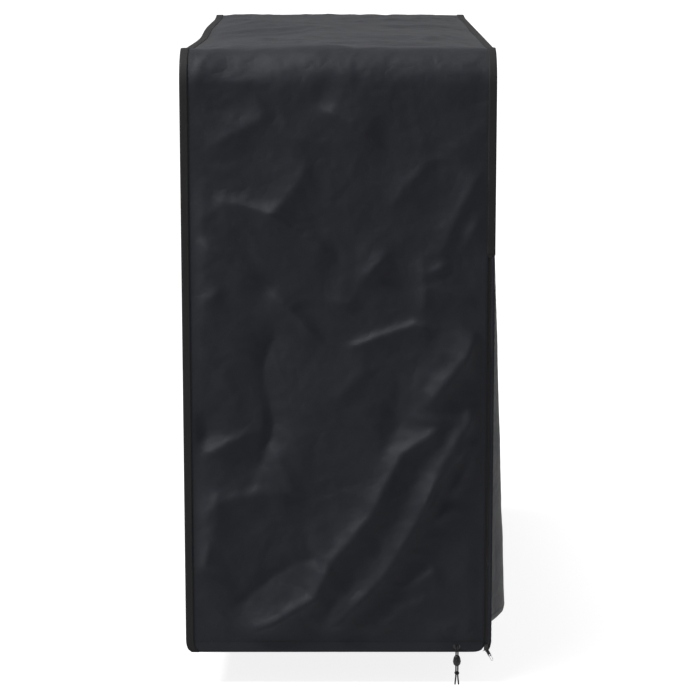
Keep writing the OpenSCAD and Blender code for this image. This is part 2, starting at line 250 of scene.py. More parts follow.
def woven(name, tones, roughness, pitch, depth, sheen, specular, ribs=False, painted_hem_shading=False, creases=0):
    """A plain weave, or a ribbed tape, with threads pitch apart on a UV map in metres."""
    constants = {"Specular IOR Level": specular, "Sheen Weight": sheen, "Sheen Roughness": 0.5}
    made, shader, at = new_material(name, constants)
    uv, body = coords(at, "UV"), coords(at, "Object")
    across, along = part(at, uv, 0) * (1 / pitch), part(at, uv, 1) * (1 / pitch)
    warp, weft = (across * (2 * math.pi)).wave(), (along * (2 * math.pi)).wave()
    over = (across.math("FLOOR") + along.math("FLOOR")) % 2
    threads = warp if ribs else over * warp + (1 - over) * weft
    slubs = noise(at, uv, 420, 3)
    mottle = noise(at, body, 26, 4, 0.6)
    broad = noise(at, body, 5.5, 2)
    share = (mottle * 0.55 + broad * 0.3 + threads * 0.1 + slubs * 0.1).math("MINIMUM", 1)
    # Painted light and shade at the hem: the cloth below the stitch row is painted lighter, and a
    # thin line along the stitch row is painted darker.
    if painted_hem_shading:
        up = part(at, uv, 1)
        share = share * 0.9 + up.math("LESS_THAN", HEM_H) * 0.16
        share = share - (up - HEM_H).math("ABSOLUTE").math("LESS_THAN", 0.0012) * 0.9
    colour = blend_colours(at, share, *tones)
    rough = roughness + (mottle - 0.5) * 0.16 + (slubs - 0.5) * 0.08
    fine = bump(at, threads * 0.75 + slubs * 0.35, depth, 0.55)
    net = (noise(at, body, 9, 3, 0.5) - 0.5).math("ABSOLUTE") * creases
    heights = {"Height": mottle + net, "Distance": 0.0009, "Normal": fine}
    normal = at.node("ShaderNodeBump", None, heights)
    drive(shader, at, colour=colour, roughness=rough, normal=normal)
    return made


cloth_finish = woven("coated_cloth", ((0.0064, 0.007, 0.0094), (0.0115, 0.0123, 0.0156)),
                     0.5, 0.0008, 0.00018, 0.02, specular=0.09, painted_hem_shading=True, creases=9.0)
binding_finish = woven("folded_binding", ((0.0062, 0.0063, 0.0065), (0.0104, 0.0105, 0.0106)),
                       0.64, 0.0007, 0.00016, 0.01, specular=0.1)
lining_finish = woven("hem_lining", ((0.012, 0.0127, 0.0155), (0.018, 0.0187, 0.022)),
                      0.62, 0.0008, 0.00018, 0.03, specular=0.2)
tape_finish = woven("ribbed_tape", ((0.006, 0.0062, 0.0075), (0.0105, 0.0108, 0.0125)),
                    0.7, 0.0011, 0.00025, 0.03, ribs=True, specular=0.15)
print("woven finishes", 4)

# %% Finishes for cord, thread, moulded parts and metal


def spun(name, tones, turns, depth):
    """Braid or twist: slanting strands round a thin piece."""
    made, shader, at = new_material(name, {"Sheen Weight": 0.03, "Specular IOR Level": 0.1})
    body = coords(at, "Object")
    x, y, z = (part(at, body, i) for i in range(3))
    around, up = (x + y) * (turns * 1.4), z * turns
    weave = (around + up).wave() * (around - up).wave()
    fuzz = noise(at, body, 2600, 3)
    share = (weave * 0.6 + fuzz * 0.5).math("MINIMUM", 1)
    drive(shader, at, colour=blend_colours(at, share, *tones),
          roughness=0.75 + (fuzz - 0.5) * 0.2, normal=bump(at, weave + fuzz * 0.3, depth, 0.8))
    return made


def solid(name, tones, roughness, specular, metallic=0.0):
    """Moulded, painted or bare: fine grain, with slow wear in the colour and the gloss."""
    constants = {"Specular IOR Level": specular, "Metallic": metallic}
    made, shader, at = new_material(name, constants)
    body = coords(at, "Object")
    fine, slow = noise(at, body, 900, 3), noise(at, body, 120, 4, 0.65)
    drive(shader, at, colour=blend_colours(at, slow, *tones),
          roughness=roughness + (slow - 0.5) * 0.25 + (fine - 0.5) * 0.1,
          normal=bump(at, fine + slow * 0.6, 0.00006, 0.7))
    return made


cord_finish = spun("braided_cord", ((0.0035, 0.0035, 0.004), (0.013, 0.013, 0.014)),
                   2600, 0.00025)
thread_finish = spun("sewing_thread", ((0.008, 0.008, 0.0085), (0.022, 0.022, 0.023)),
                     9000, 0.00008)
teeth_finish = solid("zip_teeth", ((0.0045, 0.0045, 0.005), (0.0085, 0.0085, 0.0095)), 0.45, 0.2)
slider_finish = solid("black_enamel", ((0.005, 0.005, 0.0055), (0.012, 0.012, 0.013)),
                      0.36, 0.35)
pull_finish = solid("moulded_pull", ((0.0045, 0.0045, 0.005), (0.009, 0.009, 0.0095)), 0.5, 0.2)
ring_finish = solid("plain_wire", ((0.36, 0.36, 0.37), (0.55, 0.55, 0.56)), 0.3, 0.5, 1.0)
eyelet_finish = solid("blackened_eyelet", ((0.016, 0.016, 0.018), (0.045, 0.044, 0.044)),
                      0.36, 0.3, 0.3)
lock_finish = solid("moulded_lock", ((0.004, 0.004, 0.0045), (0.008, 0.008, 0.0085)), 0.42, 0.25)
spring_finish = solid("spring_wire", ((0.42, 0.42, 0.43), (0.6, 0.6, 0.61)), 0.28, 0.5, 1.0)
print("materials", len(bpy.data.materials))

# %% [markdown]
# ## Helpers for pieces
#
# A piece is a mesh whose object stays at the origin. `dress` gives it a finish and a body to ride
# on, and hides the solids it stands for. A piece on the body "both", which spans cover and flap,
# only has its place baked into its mesh.


def dress(piece, finish, slot, body, *nodes):
    """Finish, body and replaced solids; slot is not used. The body "both" is baked in place."""
    piece.data.materials.clear()
    piece.data.materials.append(finish)
    if body == "both":
        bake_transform(piece)
    else:
        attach(piece, body)
    if nodes:
        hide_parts(*nodes)


def mesh_from(bm, name):
    """The bmesh as a mesh."""
    mesh = bpy.data.meshes.new(name)
    bm.to_mesh(mesh)
    bm.free()
    return mesh


def piece_from(bm, name, smooth=True):
    """The bmesh as an object at the origin."""
    mesh = mesh_from(bm, name)
    for face in mesh.polygons:
        face.use_smooth = smooth
    return placed(name, mesh)


def ramp(x, start, end):
    """0 before start, 1 after end, smooth between them."""
    t = np.clip((x - start) / (end - start), 0, 1)
    return t * t * (3 - 2 * t)


def laid(name, columns, rows, place, thick, *dressing):
    """A dressed grid of cloth. place(a, b) turns shares into x, y, z and a UV in metres."""
    bm = bmesh.new()
    bm.loops.layers.uv.new("UVMap")
    bmesh.ops.create_grid(bm, x_segments=columns, y_segments=rows, size=0.5, calc_uvs=True)
    made = piece_from(bm, name)
    mesh = made.data
    flat = np.empty(len(mesh.vertices) * 3)
    mesh.vertices.foreach_get("co", flat)
    flat = flat.reshape(-1, 3) + 0.5
    x, y, z, u, v = place(flat[:, 0], flat[:, 1])
    mesh.vertices.foreach_set("co", np.stack([x, y, z], 1).ravel())
    corners = np.empty(len(mesh.loops), int)
    mesh.loops.foreach_get("vertex_index", corners)
    mesh.uv_layers[0].data.foreach_set("uv", np.stack([u, v], 1)[corners].ravel())
    mesh.update()
    wall = made.modifiers.new("wall", "SOLIDIFY")
    wall.thickness, wall.offset = thick, -1
    dress(made, *dressing)
    return made


# %% [markdown]
# ## The drawcord's two ends
#
# The cord runs in the hem. Both its ends come out through one eyelet, turn down and hang
# straight, because the cord is limp. They pass through a spring lock and end in one knot, with a
# short tail each. The route is a list of places in millimetres: out from the cloth, along the hem
# from the eyelet's middle, up from the hem.

# %% Cord ends
strand_route = [(-3.8, 10, 12), (-3.8, 6.5, 12), (-3.2, 3.8, 12), (-1.6, 2.1, 12), (1, 1.9, 12),
                (4, 1.9, 11.7), (7, 1.9, 10.4), (9.6, 1.9, 7.6), (10.8, 1.9, 3.6), (11, 1.9, -2),
                (11, 1.9, -10), (11, 1.9, -18), (11, 1.9, -26), (11, 1.9, -34), (11, 1.9, -46),
                (11.3, 2.3, -51), (11.8, 3, -57), (12.2, 3.6, -64)]
CORD_D = 0.003


def tube(name, points, radius):
    """A round tube along points, as a curve with round section."""
    data = bpy.data.curves.new(name, "CURVE")
    data.dimensions = "3D"
    data.bevel_depth, data.bevel_resolution, data.use_fill_caps = radius, 6, True
    line = data.splines.new("POLY")
    line.points.add(len(points) - 1)
    for point, place in zip(line.points, points):
        point.co = (*place, 1)
    return placed(name, data)


def rounded(points):
    """The same line with more points, smooth through each of the given ones."""
    steps = 4
    ends = [points[0], *points, points[-1]]
    out = []
    for a, b, c, d in zip(ends, ends[1:], ends[2:], ends[3:]):
        for i in range(steps):
            t = i / steps
            out.append(0.5 * (2 * b + (c - a) * t + (2 * a - 5 * b + 4 * c - d) * t**2
                              + (3 * b - a - 3 * c + d) * t**3))
    return out + [points[-1]]


strands = {}
for letter, side in (("a", 1), ("b", -1)):
    line = [Vector((-END_X - out / 1000, EYELET.y + side * along / 1000, HEM_Z + up / 1000))
            for out, along, up in strand_route]
    strand = tube(f"drawcord_end_{letter}", rounded(line), CORD_D / 2)
    dress(strand, cord_finish, "cord", "cover", f"cord_strand_{letter}")
    strands[letter] = (strand, line)
    print("cord end", letter, round(sum((q - p).length for p, q in zip(line, line[1:])), 4), "m")

# %% [markdown]
# ## How the cloth lies
#
# A packed cover keeps its folds: long ridges slant down from the zip and short ones cross them.
# Each is a line with a height and a width on each side, so one flank can be steep and the other
# slow. Ripples and a net of creases go on top. All of it fades out at the seams and the hem,
# where stitching holds the cloth and only puckers it.

# %% Folds and ripples


def fold(c, h, points, tall, above, below):
    """Height of one fold at c across and h up. The points run left to right."""
    near = np.full(c.shape, 9.0)
    side, walked = np.ones(c.shape), np.zeros(c.shape)
    length = 0.0
    for (c0, h0), (c1, h1) in zip(points, points[1:]):
        dc, dh = c1 - c0, h1 - h0
        run = math.hypot(dc, dh)
        t = np.clip(((c - c0) * dc + (h - h0) * dh) / run**2, 0, 1)
        pc, ph = c - c0 - t * dc, h - h0 - t * dh
        away = np.hypot(pc, ph)
        closer = away < near
        side = np.where(closer, np.sign(dc * ph - dh * pc), side)
        walked = np.where(closer, length + t * run, walked)
        near = np.minimum(near, away)
        length += run
    width = np.where(side > 0, above, below)
    tips = ramp(np.minimum(walked, length - walked), 0, min(0.05, length * 0.45))
    soft = 0.003 + 0.3 * abs(tall)
    return tall * tips * np.exp(-(np.sqrt(near**2 + soft**2) - soft) / width)


def ripple(p, q, size, seed, count=14):
    """Smooth waves of about that size in all directions, from -1 to 1 or so."""
    dice = random.Random(seed)
    total = np.zeros(p.shape)
    for _ in range(count):
        angle, wave = dice.uniform(0, math.pi), size * dice.uniform(0.7, 1.5)
        shift = dice.uniform(0, 2 * math.pi)
        total += np.sin((p * math.cos(angle) + q * math.sin(angle)) * 2 * math.pi / wave + shift)
    return total / math.sqrt(count)


def crumple(p, q, size, seed):
    """A net of soft creases about that far apart, with flatter cloth between, up to 1."""
    shift = 0.35 * size * ripple(p, q, size * 1.3, seed + 50)
    sway = 0.35 * size * ripple(p, q, size * 1.1, seed + 70)
    return 1 - np.sqrt(ripple(p + shift, q + sway, size, seed, 9) ** 2 + 0.012)


def scattered(seed, count, low, high, length, tall, slant):
    """Folds in seeded random places, most of them slanting by about that angle."""
    dice = random.Random(seed)
    out = []
    for _ in range(count):
        c, h = dice.uniform(low[0], high[0]), dice.uniform(low[1], high[1])
        angle = math.radians(dice.gauss(slant, 28))
        reach = dice.uniform(*length) / 2
        bend = dice.uniform(-0.15, 0.15) * reach
        dc, dh = math.cos(angle) * reach, math.sin(angle) * reach
        if dc < 0:
            dc, dh = -dc, -dh
        line = [(c - dc, h - dh), (c - dh * bend / reach, h + dc * bend / reach), (c + dc, h + dh)]
        above = (dice.uniform(*tall), dice.uniform(0.012, 0.04), dice.uniform(0.010, 0.035))
        out.append((line, *above))
    return out


def seam_wave(across, along):
    """The pull of the stitches along a seam, from -1 to 1."""
    return np.sin(along * 2 * math.pi / 0.0135 + 2 * ripple(across, along, 0.2, 8))


def hem_wave(along, up, height):
    """The same along a hem, in metres, fading away from its row of stitches."""
    wave = np.sin(along * 2 * math.pi / 0.012 + 2 * ripple(along, up, 0.2, 9))
    return 0.0005 * wave * np.exp(-np.abs(height - HEM_H) / 0.006)


# %% The zip end's own folds
# In millimetres: places from the middle towards the zip and up from the hem, left to right, then
# height, width above the line and width below it.
END_DEPTH = 2.3  # both ends' folds stand out this many times their listed height
in_mm = [
    ([(-50, 1100), (20, 1060), (86, 1015)], 5.6, 34, 8),
    ([(-160, 850), (-90, 930), (-45, 1000)], 4.5, 22, 35),
    ([(-240, 915), (-126, 887), (-60, 840), (0, 795)], 5, 10, 32),
    ([(90, 890), (140, 950), (190, 1000)], 3, 20, 22),
    ([(200, 990), (280, 1060)], 1.8, 24, 22),
    ([(185, 780), (230, 880), (280, 980)], 3.8, 18, 14),
    ([(235, 800), (285, 900)], 3, 12, 12),
    ([(35, 740), (75, 785), (110, 820)], 6, 22, 7),
    ([(165, 670), (170, 740), (158, 820)], 3.8, 12, 18),
    ([(165, 760), (230, 795)], 3.8, 8, 20),
    ([(165, 745), (235, 725), (280, 695)], 4.2, 14, 10),
    ([(-287, 840), (-220, 795), (-145, 740)], 4.5, 12, 26),
    ([(-290, 690), (-215, 745)], 3.8, 14, 26),
    ([(-145, 740), (-94, 700), (-30, 630)], 5.5, 8, 16),
    ([(-30, 717), (53, 703)], 3, 16, 7),
    ([(0, 612), (70, 640), (150, 668), (205, 650)], 5, 7, 24),
    ([(160, 490), (230, 575), (288, 660)], 9.5, 34, 22),
    ([(80, 390), (120, 470), (80, 520)], -4, 22, 22),
    ([(120, 485), (190, 478), (250, 484)], 4.5, 30, 10),
    ([(-35, 30), (90, 160), (154, 270), (200, 385), (286, 515)], 8.6, 26, 15),
    ([(-200, 30), (-130, 65), (-50, 115), (-20, 180), (60, 280),
      (125, 410), (220, 475)], 8.8, 20, 19),
    ([(154, 275), (190, 340), (264, 450)], 6, 14, 12),
    ([(215, 300), (250, 370), (287, 460)], 5.5, 12, 10),
    ([(190, 260), (240, 320)], 4, 10, 12),
    ([(-290, 510), (-260, 410)], -4.5, 26, 26),
    ([(-290, 390), (-220, 430), (-155, 450)], 4.5, 14, 40),
    ([(-165, 355), (-130, 465), (-150, 580), (-125, 680)], -6.2, 22, 26),
    ([(-269, 150), (-235, 310), (-140, 335), (-85, 280)], 4.2, 22, 30),
    ([(-275, 255), (-225, 345)], 3.5, 16, 16),
    ([(-278, 160), (-255, 235)], 3.2, 12, 16),
    ([(-140, 440), (-80, 315)], 4.5, 26, 20),
    ([(-220, 80), (-140, 150), (-60, 200)], -4.5, 22, 22),
    ([(-85, 185), (-30, 200)], -3, 16, 18),
    ([(110, 125), (165, 150), (215, 190)], 4.2, 10, 22),
    ([(50, 20), (130, 90), (200, 125)], 3.6, 14, 20),
    ([(220, 8), (287, 65)], 5, 12, 10),
    ([(170, 10), (250, 75)], 3.8, 14, 12),
    ([(-270, 1000), (-120, 1090)], 2.8, 20, 20),
    ([(-270, 860), (-200, 940)], 2.6, 18, 22),
    ([(-20, 500), (50, 575), (30, 620)], 3, 20, 22),
]
end_folds = [([(c / 1000, h / 1000) for c, h in line], tall / 1000, above / 1000, below / 1000)
             for line, tall, above, below in in_mm]
top_folds = scattered(11, 22, (-0.2, 1.25), (0.2, 2.5), (0.15, 0.5), (0.0012, 0.0034), 8)
far_folds = scattered(23, 34, (-0.24, 0.12), (0.24, 1.08), (0.08, 0.34), (0.003, 0.009), 128)
print("folds on the strip", len(end_folds) + len(top_folds) + len(far_folds))

# %% The strip's relief, its path and how it sags
# Height, size and seed of each net of creases and each set of ripples, in metres.
CREASES = ((0.0026, 0.28, 112), (0.0013, 0.13, 106), (0.0005, 0.06, 107))
RIPPLES = ((0.0004, 0.10, 4), (0.00022, 0.045, 5), (0.00010, 0.022, 6))


def strip_relief(c, s):
    """How far the strip stands out, c across towards the zip and s along it."""
    far = STRIP - s
    total = np.zeros(c.shape)
    for near_end, folds in ((True, end_folds), (False, far_folds)):
        up = s if near_end else far
        keep = up < STRAIGHT + ARC
        for line, tall, above, below in folds:
            total[keep] += END_DEPTH * fold(c[keep], up[keep], line, tall, above, below)
    keep = (s > STRAIGHT) & (far > STRAIGHT)
    for line, tall, above, below in top_folds:
        total[keep] += fold(c[keep], s[keep], line, tall, above, below)
    low = np.minimum(s, far)
    total += 0.0024 * ripple(c, s, 0.30, 3) * ramp(low, 0.02, 0.2)
    upright = 0.5 + 0.5 * ramp(STRAIGHT + ARC - low, 0.0, 0.15)
    for tall, size, seed in CREASES:
        total += upright * tall * crumple(c, s, size, seed)
    for tall, size, seed in RIPPLES:
        total += tall * ripple(c, s, size, seed)
    sewn = np.where(s < KNEE, ZIP_Y - ZIP_GAP, SIDE_Y)
    total *= ramp(sewn - 0.004 - c, 0.0, 0.034) * ramp(SIDE_Y - BINDING_W + c, 0.0, 0.030)
    total *= 0.12 + 0.88 * ramp(low, 0.018, 0.06)
    zip_side = np.where(s < KNEE, ZIP_Y - 0.012, SIDE_Y - BINDING_W) - c
    seam = np.minimum(SIDE_Y - BINDING_W + c, zip_side)
    total += 0.00045 * seam_wave(c, s) * np.exp(-np.abs(seam) / 0.010)
    return total + hem_wave(c, s, low)


def strip_at(s):
    """Place and outward direction in X and Z, s metres from the zip end's hem."""
    rise = np.clip((s - STRAIGHT) / FOLD, 0, math.pi / 2)
    drop = np.clip((s - STRAIGHT - ARC - FLAT) / FOLD, 0, math.pi / 2)
    x = (-END_X + FOLD * (1 - np.cos(rise)) + np.clip(s - STRAIGHT - ARC, 0, FLAT)
         + FOLD * np.sin(drop))
    z = (HEM_Z + np.minimum(s, STRAIGHT) + FOLD * np.sin(rise) - FOLD * (1 - np.cos(drop))
         - np.maximum(s - (STRIP - STRAIGHT), 0))
    return x, z, -np.cos(rise) + np.sin(drop), np.sin(rise) * np.cos(drop)


def sag(c, s):
    """How far the top drops below its plane, c across and s along the strip."""
    x = s - STRIP / 2
    middle = -0.04
    wide = np.where(x < middle, 0.42, 0.15)
    dip = 0.010 * np.exp(-(((x - middle) / wide) ** 2)) * ramp(-c, 0.0, 0.28)
    edge = 0.005 * ramp(np.abs(c), 0.20, SIDE_Y) + 0.003 * ramp(-c, -0.3, 0.3)
    start = STRAIGHT + ARC * 0.7
    on_top = ramp(s, start, start + 0.13) * ramp(STRIP - s, start, start + 0.13)
    return on_top * (dip + edge)


def side_sag(x, h, c):
    """The same drop at a side panel's top edge, fading down the panel."""
    s = STRAIGHT + ARC + np.clip(x + END_X - FOLD, 0, FLAT)
    return sag(c + 0 * x, s) * ramp(h, TOP_Z - HEM_Z - 0.22, TOP_Z - HEM_Z)


def tucked(h):
    """How far the drawn hem turns in at a height above it."""
    low = np.clip((0.025 - h) / 0.025, 0, 1)
    return 0.011 * (1 - np.sqrt(1 - low**2 * 0.999))


def lifted(away, h, reach, tall):
    """How far the hem's rounded corner lifts the cloth, away from the zip and h above the hem."""
    t = np.clip(1 - away / reach, 0, 1)
    return tall * (1 - np.sqrt(1 - t**2 * 0.999)) * np.clip(1 - h / 0.05, 0, 1)


# %% [markdown]
# ## The long strip
#
# One grid follows the strip up the zip end, over both soft folds and down the far end, with most
# rows on the zip end. Below the zip's top its front edge steps back to leave room for the teeth.

# %% The strip
rows_at = np.array([0, 0.50, 0.535, 0.70, 0.735, 1.0])
rows_to = np.array([0, STRAIGHT, STRAIGHT + ARC, STRAIGHT + ARC + FLAT, STRIP - STRAIGHT, STRIP])


def strip_place(a, b):
    """The strip, a across it towards the zip and b along it from the zip end's hem."""
    s = np.interp(b, rows_at, rows_to)
    low = np.minimum(s, STRIP - s)
    wide = SIDE_Y - CLOTH
    edge = ZIP_Y - ZIP_GAP + (wide - ZIP_Y + ZIP_GAP) * ramp(s, KNEE - 0.009, KNEE + 0.002)
    edge = edge - tucked(low) * (s > KNEE)
    back = wide - tucked(low)
    c = -back + a * (back + edge)
    s = s + lifted(edge - c, s, 0.022, 0.013) * (s < STRIP / 2)
    x, z, nx, nz = strip_at(s)
    out = strip_relief(c, s)
    return x + nx * out, -c, z + nz * out - sag(c, s), c, s


strip_piece = laid("strip_cloth", 100, 460, strip_place, CLOTH,
                   cloth_finish, "cloth", "cover", "saddle_panel")
print("strip faces", len(strip_piece.data.polygons))

# %% [markdown]
# ## The side panels
#
# Both sides hang from the top. The front one swings out below the zip's top, but stays nearly
# upright close to each corner, where the seam holds it. Its edge by the zip goes round the corner
# onto the end. One sheet covers fixed cloth and flap together, and bends at the flap's crease.

# %% Side panels


def flare_at(x, h):
    """How far the front stands out of its upright plane."""
    share = np.clip(1 - h / KNEE, 1e-6, 1)
    reach = (END_X - np.abs(x)) / (FLARE_IN * share)
    return FLARE * share * ramp(reach, 0.44, 0.95) * (h < KNEE)


def half_length(z):
    """Half of the side panel's length at a height, less where its top corners are round."""
    over = np.clip(z - (TOP_Z - FOLD), 0, FOLD)
    return END_X - FOLD + np.sqrt(FOLD**2 - over**2)


front_folds = scattered(31, 60, (-0.66, 0.1), (0.66, 1.1), (0.12, 0.5), (0.004, 0.012), 66)
back_folds = scattered(47, 60, (-0.66, 0.1), (0.66, 1.1), (0.12, 0.5), (0.004, 0.012), 112)
FRONT_SEED, BACK_SEED = 71, 61
HANG, SLACK, GIVE = 0.0035, 0.008, 0.004


def side_relief(p, h, folds, seed):
    """How far a side panel stands out of its plane: mostly inwards, and never past HANG."""
    total = np.zeros(p.shape)
    for line, tall, above, below in folds:
        total += fold(p, h, line, tall, above * 1.3, below * 1.3)
    total += 0.0035 * ripple(p, h * 0.6, 0.34, seed) * ramp(h, 0.02, 0.2)
    total += 0.0050 * crumple(p, h * 0.7, 0.34, seed + 3) + 0.0024 * crumple(p, h, 0.15, seed + 4)
    total += 0.0008 * crumple(p, h, 0.06, seed + 5) + 0.0004 * ripple(p, h, 0.12, seed + 1)
    total = HANG - GIVE * np.logaddexp((HANG - total + SLACK) / GIVE, 0)
    ends = half_length(HEM_Z + h) - np.abs(p)
    total *= ramp(ends, BINDING_W + 0.001, BINDING_W + 0.035)
    total *= ramp(TOP_Z - HEM_Z - h, BINDING_W + 0.001, BINDING_W + 0.03)
    total *= 0.1 + 0.9 * ramp(h, 0.018, 0.07)
    return total + hem_wave(p, h, h)


def heights(b):
    """Row heights, closer together where the top corners turn."""
    return np.interp(b, [0, 0.9, 1], [0, TOP_Z - HEM_Z - FOLD, TOP_Z - HEM_Z - 0.0002])


def back_place(a, b):
    """The back panel, a along it from the far end and b up it."""
    h = heights(b)
    x = half_length(HEM_Z + h) * (1 - 2 * a)
    y = SIDE_Y + side_relief(-x, h, back_folds, BACK_SEED) - tucked(h)
    return x, y, HEM_Z + h - side_sag(x, h, -SIDE_Y), x, h


RETURN_SHARE, RETURN_W = 0.0175, ZIP_GAP * 1.5  # the part that goes round onto the end


def front_place(a, b):
    """The front panel with its flap, a along it from the zip's teeth and b up it."""
    h = heights(b)
    share = np.clip((a - RETURN_SHARE) / (1 - RETURN_SHARE), 0, 1)
    x = half_length(HEM_Z + h) * (2 * share - 1)
    taut = 1 - 0.85 * ramp(-x, 0.30, 0.46) * ramp(h, KNEE + 0.3, KNEE)
    y = -SIDE_Y - flare_at(x, h) - taut * side_relief(x, h, front_folds, FRONT_SEED) + tucked(h)
    turned = np.clip(1 - a / RETURN_SHARE, 0, 1)
    under = ramp(h, KNEE - 0.006, KNEE + 0.004)
    h = h + lifted(x + END_X + turned * RETURN_W, h, 0.010, 0.009)
    y = y + turned * RETURN_W * (1 - under * 0.35)
    z = HEM_Z + h - side_sag(x, h, SIDE_Y)
    x = x + under * (turned > 0) * 0.0026
    return x, y, z, x - turned * RETURN_W, h


back_piece = laid("back_cloth", 150, 130, back_place, CLOTH,
                  cloth_finish, "cloth", "cover", "back_panel")
front_piece = laid("front_cloth", 171, 140, front_place, CLOTH, cloth_finish, "cloth", "both",
                   "front_panel", "front_skirt", "front_far_corner", "front_zip_corner",
                   "front_flap")
print("side faces", len(back_piece.data.polygons), len(front_piece.data.polygons))

# %% [markdown]
# ## Bindings
#
# Each long seam is closed by tape folded over it, one leg on the strip and one on the side panel.
# The grid's columns follow that folded section, and its rows the cover's outline. The flap has
# its own short binding on its face, because the zip's teeth take the other side.

# %% Bindings


def binding_section(a):
    """Across and outward places of the folded tape, a from 0 to 1."""
    turn = 0.0014
    leg = BINDING_W - turn + BINDING_T
    w = a * (2 * leg + turn * math.pi / 2)
    angle = np.clip((w - leg) / turn, 0, math.pi / 2)
    p = -BINDING_W + np.minimum(w, leg) + turn * np.sin(angle)
    q = BINDING_T + 0.0001 - turn * (1 - np.cos(angle))
    return p, q - np.maximum(w - leg - turn * math.pi / 2, 0), w


def bound(front, start, stop):
    """Places on the binding of the front or the back seam, between two places on the strip."""
    def place(a, b):
        s = start + (stop - start) * b
        p, q, w = binding_section(a)
        x, z, nx, nz = strip_at(s)
        low = np.minimum(s, STRIP - s)
        wavy = 0.00035 * seam_wave(w, s)
        q = q + wavy * ramp(-p, 0.001, 0.006)
        x, z = x + nx * q, z + nz * q
        out = SIDE_Y + p - tucked(low) + wavy * ramp(-q, 0.001, 0.006)
        if front:
            out = out + flare_at(x, low) * (x > 0)
        z = z - sag(np.full(s.shape, SIDE_Y if front else -SIDE_Y), s)
        return x, -out if front else out, z, (w if front else -w), s
    return place


def back_shape(a, b):
    """The back seam's binding, turned so that its outer face looks out."""
    return bound(False, 0, STRIP)(1 - a, b)


back_binding = laid("back_seam_binding", 14, 620, back_shape, BINDING_T,
                    binding_finish, "binding", "cover", "back_binding")
front_binding = laid("front_seam_binding", 14, 490, bound(True, KNEE - 0.007, STRIP), BINDING_T,
                     binding_finish, "binding", "cover", "front_binding")


def flap_point(u, h, out):
    """A place on the flap by the zip: u from the corner, h up, out from its face."""
    x = -END_X + u
    return x, -SIDE_Y - flare_at(x, h) - out + tucked(h), HEM_Z + h


def flap_binding_place(a, b):
    """The flap's own binding, thinner at its two edges."""
    h = b * (FIXED_ZIP - BINDING_W)
    wavy = 0.0003 * seam_wave(a, h)
    edge = np.minimum(a, 1 - a) * BINDING_W
    thick = (BINDING_T + 0.0001) * np.sqrt(np.clip(edge / 0.0008, 0.15, 1))
    x, y, z = flap_point(a * BINDING_W, h, thick + wavy * ramp(edge, 0, 0.003))
    return x, y, z, a * BINDING_W, h


flap_binding = laid("flap_seam_binding", 8, 220, flap_binding_place, BINDING_T,
                    binding_finish, "binding", "both", "flap_binding")
bindings = (back_binding, front_binding, flap_binding)
print("binding faces", sum(len(piece.data.polygons) for piece in bindings))

# %% [markdown]
# ## The hem
#
# A facing inside the hem makes the tunnel for the drawcord. It lies on the cloth along its two
# stitched edges, stands off between them round the cord, and follows the cloth outside it.

# %% Hem facings


def tunnel(b):
    """Depth behind the cloth's face, b up the facing from 0 to 1."""
    return CLOTH + LINING + 0.0046 * np.sin(math.pi * np.clip(b, 0, 1)) ** 0.7


def end_facing(sign, near, far):
    """Behind an end of the strip, between two places across it. The zip end's sign is -1."""
    def place(a, b):
        c = near + (far - near) * a
        h = 0.0006 + b * HEM_H
        s = h if sign < 0 else STRIP - h
        out = strip_relief(c, s) - tunnel(b)
        return sign * (END_X + out), -c, HEM_Z + h, c, h
    return place


def side_facing(sign, first, last):
    """Behind a side panel, between two places along it. The front's sign is -1."""
    def place(a, b):
        x = first + (last - first) * a
        h = 0.0006 + b * HEM_H
        folds, seed = (front_folds, FRONT_SEED) if sign < 0 else (back_folds, BACK_SEED)
        out = side_relief(x * -sign, h, folds, seed) - tucked(h) - tunnel(b)
        if sign < 0:
            out = out + flare_at(x, h)
        return x, sign * (SIDE_Y + out), HEM_Z + h, x, h
    return place


inset = 0.013  # a facing stops this far before the corner, where the next one starts
foot_x = END_X - FLARE_IN  # the flap's crease meets the hem here
facings = (
    (110, end_facing(-1, -SIDE_Y + inset, ZIP_Y - 0.020), "cover", ["facing_zip_end"]),
    (110, end_facing(1, SIDE_Y - inset, -SIDE_Y + inset), "cover", ["facing_far_end"]),
    (200, side_facing(1, END_X - inset, -END_X + inset), "cover", ["facing_back"]),
    (190, side_facing(-1, -foot_x + 0.002, END_X - inset), "cover",
     ["facing_front", "facing_far_flare"]),
    (60, side_facing(-1, -END_X + 0.016, -foot_x - 0.011), "both", ["facing_flap"]))
for count, place, body, nodes in facings:
    laid(nodes[0] + "_cloth", count, 10, place, LINING, lining_finish, "facing", body, *nodes)
print("facings", len(facings))

# %% [markdown]
# ## The zip
#
# Square moulded teeth stand on the edge of a ribbed tape, with a bead behind their roots. A tooth
# is made once, with a neck and a wider head, and copied up each row. The two rows are half a
# pitch apart, so they mesh.

# %% Teeth
PITCH, FIRST = 0.004, 0.0145
CHAIN_OUT, CHAIN_IN = CLOTH - 0.0008, CLOTH + 0.0016
CHAIN_X = -END_X + (CHAIN_IN + CHAIN_OUT) / 2
ROOT, REACH = 0.0032, 0.0042  # a tooth's root from the zip's middle, and its length
end_count = int((KNEE - 0.010 - FIRST) / PITCH + 1e-6)
flap_count = int((FIXED_ZIP - FIRST) / PITCH + 1e-6) - 1


def copied(name, mesh, places, smooth):
    """One mesh holding a copy of the given one at each place."""
    bm = bmesh.new()
    for place in places:
        moved = mesh.copy()
        moved.transform(place)
        bm.from_mesh(moved)
        bpy.data.meshes.remove(moved)
    return piece_from(bm, name, smooth)


